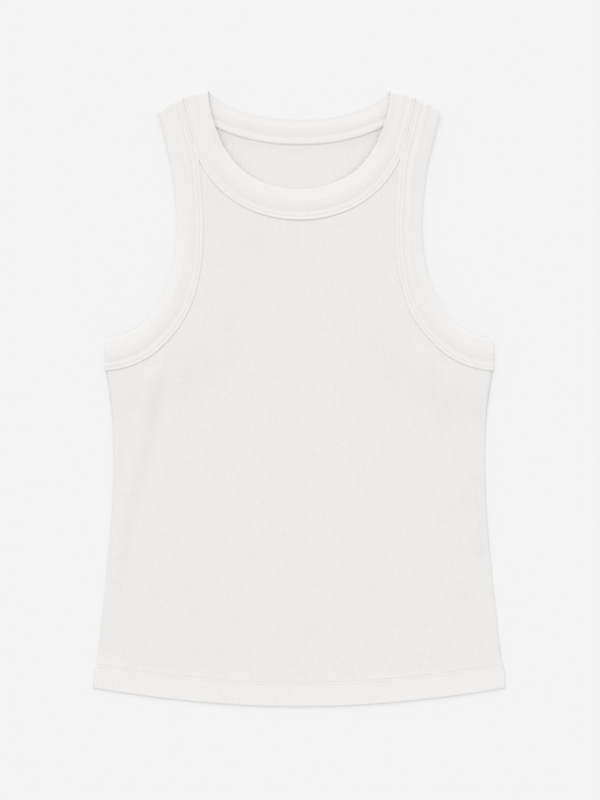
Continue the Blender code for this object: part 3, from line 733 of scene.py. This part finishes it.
def armhole_band(side, mirror, material, thread):
    folds = [
        ("shoulder", 0, OVER_SHOULDER, SHOULDER_RIBS, SHOULDER_STRETCH),
        ("underarm", -1, OVER_UNDERARM, UNDERARM_RIBS, UNDERARM_STRETCH),
    ]
    back_out = np.zeros(len(ARM_BACK))
    front, back, curls = band_stations(ARM_FRONT, ARM_BACK, folds, ARM_INNER_ROW, back_out, 0.0)
    loop = bowed(np.concatenate([front, curls["underarm"], back[::-1], curls["shoulder"][::-1]]))
    if mirror:
        loop = mirrored(loop)
    one_row = np.zeros(len(loop), bool)
    name = f"armhole_band_{side}_cloth"
    item, surface, normal = band_object(name, loop, ARM_INNER_ROW, one_row, material)
    rows = [(section_place("out", row), ~one_row) for row in (OUTER_ROW, INNER_ROW)]
    stitches = band_stitches(f"armhole_stitches_{side}", surface, normal, rows, thread)
    return item, stitches


def raw_tops(neck, arm):
    """A panel's cut edges inside its bands, as (x, y) with x rising: the neck's, then the arm's."""
    lines = []
    for band in (neck, arm):
        edge, seam = band[:, 0], band[:, 1]
        width = np.hypot(*(seam - edge).T)[:, None]
        lines.append(seam + (edge - seam) * TAB / width)
    neck_line, arm_line = lines
    narrowest = np.argmin(arm_line[:, 0])
    return neck_line[::-1], arm_line[narrowest:]


def side_half(y):
    """Half of a panel's width at a height."""
    side = smooth_curve(SIDE)
    return np.interp(-y, -side[:, 1], side[:, 0])


class Panel:
    """A panel's columns of points, one for each quarter of a rib, cut off inside the bands."""

    def __init__(self, neck, arm):
        count = PER_RIB * BODY_RIBS + 1
        self.share = np.linspace(-1.0, 1.0, count)
        neck_line, arm_line = raw_tops(neck, arm)
        x = np.abs(self.share) * SIDE_TOP
        neck_top = np.interp(x, neck_line[:, 0], neck_line[:, 1])
        arm_top = np.interp(x, arm_line[:, 0], arm_line[:, 1])
        top = np.where(x < arm_line[0, 0], neck_top, arm_top)
        foot = -HALF_LENGTH + HEM_CORNER_RISE * self.share**2
        rows = np.array([*HEM_ROWS, *np.arange(HEM_ROWS[-1] + ROW_STEP, 2.0 * HALF_LENGTH, ROW_STEP)])
        self.columns = []
        shares, heights, feet = [], [], []
        start = 0
        for share, y_top, y_foot in zip(self.share, top, foot):
            own = rows[rows < y_top - y_foot - 1.0]
            own = np.append(own, y_top - y_foot)
            self.columns.append(np.arange(start, start + len(own)))
            start += len(own)
            shares.append(np.full(len(own), share))
            heights.append(own)
            feet.append(own + y_foot)
        self.of_share = np.concatenate(shares)
        self.height = np.concatenate(heights)
        y = np.concatenate(feet)
        y = y - HEM_OUT * ease(self.height / HEM_OUT_REACH)
        spread = (side_half(y) - SIDE_IN - SIDE_TOP) * np.abs(self.of_share) ** SIDE_SPREAD
        self.plan = np.column_stack([self.of_share * SIDE_TOP + np.sign(self.of_share) * spread, y])
        self.column_of = np.concatenate([np.full(len(c), i) for i, c in enumerate(self.columns)])

    def coarse(self):
        """Every fourth column, with every fourth of its rows and its top."""
        return [np.append(column[:-1:COARSE], column[-1]) for column in self.columns[::COARSE]]


def strip_faces(columns):
    """Faces between neighbouring columns, facing up where x and y rise."""
    faces = []
    for left, right in zip(columns, columns[1:]):
        both = min(len(left), len(right))
        quads = np.stack([left[: both - 1], right[: both - 1], right[1:both], left[1:both]], 1)
        faces += quads.tolist()
        if len(right) > both:
            faces += [[int(left[-1]), int(a), int(b)] for a, b in zip(right[both - 1 :], right[both:])]
        if len(left) > both:
            faces += [[int(right[-1]), int(b), int(a)] for a, b in zip(left[both - 1 :], left[both:])]
    return faces


def chains(columns):
    """A panel's border, once round against the clock, as lists of points from corner to corner."""
    hem = [column[0] for column in columns]
    tops = [column[-1] for column in columns][::-1]
    return [hem, list(columns[-1]), tops, list(columns[0][::-1])]


def panel_object(name, panel, top, bottom, pull, material):
    """A panel as a closed shell: a fine ribbed top, a plain bottom and a wall between them."""
    count = len(panel.plan)
    upper = np.column_stack([panel.plan, top])
    lower_places = np.concatenate(panel.coarse())
    lower = np.column_stack([panel.plan, bottom])[lower_places]
    place_below = {int(place): count + i for i, place in enumerate(lower_places)}
    faces = strip_faces(panel.columns)
    for face in strip_faces(panel.coarse()):
        faces.append([place_below[place] for place in face[::-1]])
    for fine, plain in zip(chains(panel.columns), chains(panel.coarse())):
        at = {int(place): i for i, place in enumerate(fine)}
        for a, b in zip(plain, plain[1:]):
            part = [int(p) for p in fine[at[int(a)] : at[int(b)] + 1]]
            faces.append(part[::-1] + [place_below[int(a)], place_below[int(b)]])
    points = np.concatenate([upper, lower])
    # the pull also darkens the colour, as painted shade in the hem's stitch row
    own = np.column_stack([panel.column_of / PER_RIB, panel.height, pull])
    own = np.concatenate([own, own[lower_places] * np.array([1.0, 1.0, 0.0])])
    corners = np.concatenate([np.array(face) for face in faces])
    return cloth_object(name, points, faces, own[corners], material)


def hem_pull(panel):
    """How deep the hem's lower row of stitches pulls the cloth in, and more at its holes."""
    wale = WALE[panel.column_of % PER_RIB]
    away = np.abs(panel.height - HEM_SEAMS[0])
    return HEM_PULL * (0.05 * ease(away / 1.1) + 0.08 * (1.0 - wale) * (away < 0.05))


def side_inset(panel):
    """How far in from the side edge each point lies, by its share of the panel's width."""
    return (1.0 - np.abs(panel.of_share)) * SIDE_TOP


def edge_drop(panel, reach, drop):
    """How far a panel's top rounds down at its side and hem edges."""
    from_side = np.where(panel.plan[:, 1] < BELOW_ARMHOLES, side_inset(panel), reach)
    height = np.zeros(len(panel.plan))
    for away in (from_side, panel.height):
        share = np.clip(away / reach, 0.0, 1.0)
        height = np.maximum(height, drop * (1.0 - np.sqrt(1.0 - (1.0 - share) ** 2)))
    return height


def back_panel(material):
    panel = Panel(NECK_BACK, ARM_BACK)
    wale = WALE[panel.column_of % PER_RIB]
    rise = slot_rise(panel.plan, NECK_BACK, ARM_BACK)
    hem = CLOTH * hem_share(panel.plan)
    drop = edge_drop(panel, BACK_EDGE_REACH, BACK_EDGE_DROP)
    top = rise + CLOTH + hem + BODY_RIB_HEIGHT * (wale - 1.0) - drop
    return panel_object("back_panel_cloth", panel, top, rise, np.zeros(len(top)), material)


def front_panel(material, thread):
    panel = Panel(NECK_FRONT, ARM_FRONT)
    plan = panel.plan
    wale = WALE[panel.column_of % PER_RIB]
    puff, folds = fold_height(plan)
    lift = np.maximum(slot_rise(plan, NECK_FRONT, ARM_FRONT), puff) + folds
    base = support(plan) + GAP + np.maximum(lift, 0.0)
    pull = hem_pull(panel)
    hem = HEM_STEP * ease((panel.height - HEM_DEPTH + 0.5) / HEM_STEP_SLOPE)
    smooth = base + CLOTH + hem
    for away, reach in ((side_inset(panel), SIDE_REACH), (panel.height, HEM_REACH)):
        share = 1.0 - np.clip(away / reach, 0.0, 1.0)
        smooth = EDGE_HEIGHT + (smooth - EDGE_HEIGHT) * np.sqrt(1.0 - share**2)
    top = smooth + BODY_RIB_HEIGHT * (wale - 0.6) - pull
    bottom = np.minimum(base, top - THINNEST)
    item = panel_object("front_panel_cloth", panel, top, bottom, pull, material)
    rows = []
    for row in HEM_SEAMS:
        on_row = np.flatnonzero(panel.height == row)
        surface = np.column_stack([plan[on_row], smooth[on_row] - 0.05])
        upward = np.broadcast_to([0.0, 0.0, 1.0], surface.shape)
        inside = np.ones(len(surface), bool)
        inside[:PER_RIB] = inside[-PER_RIB:] = False
        rows.append(row_stitches(surface, upward, inside))
    starts, middles, tips = (np.concatenate(part) for part in zip(*rows))
    stitches = stitch_object("hem_stitches", starts, middles, tips, HEM_THREAD, thread)
    return item, stitches


def node(tree, kind, **values):
    """A shader node with its settings, and its inputs by name or place."""
    made = tree.nodes.new("ShaderNode" + kind)
    for name, value in values.items():
        if name == "inputs":
            for key, content in value.items():
                if isinstance(content, bpy.types.NodeSocket):
                    tree.links.new(content, made.inputs[key])
                else:
                    made.inputs[key].default_value = content
        else:
            setattr(made, name, value)
    return made


def math_node(tree, operation, *inputs):
    return node(tree, "Math", operation=operation, inputs=dict(enumerate(inputs))).outputs[0]


def knit_material(name, colour, valley_painted_shade, mottle, broken, hem=0.0):
    """Cotton rib knit: loops along each rib, painted shade in its valleys and in its stitch grooves and
    needle holes, fuzz and mottling.

    The rib valleys are painted darker, as shade, by the amount that follows the colour. broken is how much
    that painted shade comes and goes from spot to spot, and hem is how much lighter the turned-up hem
    looks, where two layers lie on each other.
    """
    material = bpy.data.materials.new(name)
    material.use_nodes = True
    tree = material.node_tree
    shader = tree.nodes["Principled BSDF"]
    knit = node(tree, "Attribute", attribute_name="knit")
    parts = node(tree, "SeparateXYZ", inputs={0: knit.outputs["Vector"]})
    rib, course, pull = parts.outputs
    place = node(tree, "TexCoord").outputs["Object"]

    def combined(operation, *inputs):
        return math_node(tree, operation, *inputs)

    def noise(scale, detail, roughness):
        settings = {"Vector": place, "Scale": scale, "Detail": detail, "Roughness": roughness}
        return node(tree, "TexNoise", inputs=settings).outputs["Fac"]

    turn = combined("MULTIPLY", rib, 2.0 * math.pi)
    crest = combined("MULTIPLY_ADD", combined("COSINE", turn), 0.5, 0.5)
    valley = combined("SUBTRACT", 1.0, crest)
    slant = combined("ABSOLUTE", combined("SUBTRACT", combined("FRACT", rib), 0.5))
    along_rib = combined("MULTIPLY", course, 2.0 * math.pi / COURSE)
    loop_turn = combined("ADD", along_rib, combined("MULTIPLY", slant, LOOP_SLANT))
    loop = combined("MULTIPLY_ADD", combined("COSINE", loop_turn), 0.5, 0.5)

    fuzz = noise(900.0, 3.0, 0.7)
    cloud = noise(55.0, 4.0, 0.6)
    fuzz_part = combined("MULTIPLY", combined("SUBTRACT", fuzz, 0.5), mottle)
    cloud_part = combined("MULTIPLY", combined("SUBTRACT", cloud, 0.5), CLOUD_SHARE * mottle)
    # painted shade in the stitch grooves and needle holes, by how far the cloth is pulled in
    painted_hole_shade = combined("MULTIPLY", pull, HOLE_PAINTED_SHADE)
    clear = combined("MULTIPLY_ADD", noise(420.0, 2.0, 0.6), 2.0 * broken, 0.95 - broken)
    # painted shade: the rib valleys are painted darker, in patches
    painted_rib_valley_shade = combined("MULTIPLY", combined("MULTIPLY", valley, clear), valley_painted_shade)
    # the painted shade of the valleys and of the pulled-in cloth together
    dark = combined("ADD", painted_rib_valley_shade, painted_hole_shade)
    on_hem = combined("MULTIPLY_ADD", course, -1.0, HEM_SEAMS[0] + 2.0)
    turned = node(tree, "Clamp", inputs={"Value": on_hem}).outputs[0]
    dark = combined("SUBTRACT", dark, combined("MULTIPLY", turned, hem))
    mottled = combined("ADD", 1.0, combined("ADD", fuzz_part, cloud_part))
    light = combined("SUBTRACT", mottled, dark)
    tint = node(tree, "VectorMath", operation="SCALE", inputs={0: colour, "Scale": light})
    tree.links.new(tint.outputs["Vector"], shader.inputs["Base Color"])

    loop_relief = combined("MULTIPLY", loop, 0.6)
    relief = combined("ADD", loop_relief, combined("MULTIPLY", fuzz, 0.8))
    bump = node(tree, "Bump", inputs={"Height": relief, "Strength": 0.35, "Distance": 0.00012})
    tree.links.new(bump.outputs["Normal"], shader.inputs["Normal"])
    roughness = combined("MULTIPLY_ADD", fuzz, 0.1, 0.85)
    tree.links.new(roughness, shader.inputs["Roughness"])
    shader.inputs["Specular IOR Level"].default_value = 0.15
    shader.inputs["Sheen Weight"].default_value = 0.12
    shader.inputs["Sheen Roughness"].default_value = 0.6
    return material


def thread_material(colour):
    """Sewing thread: two plies twisted round each other."""
    material = bpy.data.materials.new("sewing_thread")
    material.use_nodes = True
    tree = material.node_tree
    shader = tree.nodes["Principled BSDF"]
    place = node(tree, "TexCoord").outputs["Object"]
    scaled = {"Vector": place, "Scale": 900.0}
    wave = node(tree, "TexWave", wave_type="BANDS", bands_direction="DIAGONAL", inputs=scaled)
    light = math_node(tree, "MULTIPLY_ADD", wave.outputs["Fac"], 0.05, 0.96)
    tint = node(tree, "VectorMath", operation="SCALE", inputs={0: colour, "Scale": light})
    tree.links.new(tint.outputs["Vector"], shader.inputs["Base Color"])
    bump = node(tree, "Bump", inputs={"Height": wave.outputs["Fac"], "Strength": 0.15, "Distance": 0.00005})
    tree.links.new(bump.outputs["Normal"], shader.inputs["Normal"])
    shader.inputs["Roughness"].default_value = 0.7
    return material


def stage_floor():
    """A plain pale floor, a hair under the part."""
    mesh = bpy.data.meshes.new("floor")
    signs = [(-1.0, -1.0), (1.0, -1.0), (1.0, 1.0), (-1.0, 1.0)]
    corners = [(x * FLOOR_REACH, y * FLOOR_REACH, FLOOR_TOP) for x, y in signs]
    mesh.from_pydata(corners, [], [(0, 1, 2, 3)])
    material = bpy.data.materials.new("pale_floor")
    material.use_nodes = True
    shader = material.node_tree.nodes["Principled BSDF"]
    shader.inputs["Base Color"].default_value = FLOOR_COLOUR
    shader.inputs["Emission Color"].default_value = FLOOR_GLOW_COLOUR
    shader.inputs["Emission Strength"].default_value = FLOOR_GLOW
    shader.inputs["Roughness"].default_value = 0.9
    shader.inputs["Specular IOR Level"].default_value = 0.0
    mesh.materials.append(material)
    floor = bpy.data.objects.new("floor", mesh)
    bpy.context.scene.collection.objects.link(floor)


def studio_light():
    """Even light from all round, and a broad soft lamp beyond the neck."""
    world = bpy.data.worlds.new("studio")
    bpy.context.scene.world = world
    world.use_nodes = True
    background = world.node_tree.nodes["Background"]
    background.inputs["Color"].default_value = (1.0, 1.0, 1.0, 1.0)
    background.inputs["Strength"].default_value = AROUND
    lamp = bpy.data.lights.new("window", "SUN")
    lamp.energy = LAMP
    lamp.angle = math.radians(LAMP_SPREAD)
    item = bpy.data.objects.new("window", lamp)
    item.rotation_euler = (math.radians(-(90.0 - LAMP_HEIGHT)), 0.0, math.radians(LAMP_TURN))
    bpy.context.scene.collection.objects.link(item)


def camera():
    """Straight above, far off, framing 567 by 756 mm of the floor."""
    data = bpy.data.cameras.new("camera")
    data.sensor_width = CAMERA_SENSOR
    data.lens = CAMERA_SENSOR * CAMERA_PLACE[2] / CAMERA_LONG_SIDE
    item = bpy.data.objects.new("camera", data)
    item.location = CAMERA_PLACE
    bpy.context.scene.collection.objects.link(item)
    bpy.context.scene.camera = item
    bpy.context.scene.view_settings.view_transform = "Standard"


body = knit_material("body_rib_knit", BODY_COLOUR, 0.05, 0.14, 1.5, 0.032)
inside = knit_material("back_rib_knit", BACK_COLOUR, 0.07, 0.08, 0.9, 0.03)
band = knit_material("band_rib_knit", BAND_COLOUR, 0.055, 0.05, 0.6)
thread = thread_material(THREAD_COLOUR)

front, hem_stitches = front_panel(body, thread)
back = back_panel(inside)
neck, neck_stitches = neckband(band, thread)
left, left_stitches = armhole_band("left", False, band, thread)
right, right_stitches = armhole_band("right", True, band, thread)

for item, solid, slot in (
    (front, "front_panel", "front_rib_knit"),
    (back, "back_panel", "back_rib_knit"),
    (neck, "neckband", "neck_rib_knit"),
    (left, "armhole_band_left", "left_armhole_rib_knit"),
    (right, "armhole_band_right", "right_armhole_rib_knit"),
):
    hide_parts(solid)

stage_floor()
studio_light()
camera()
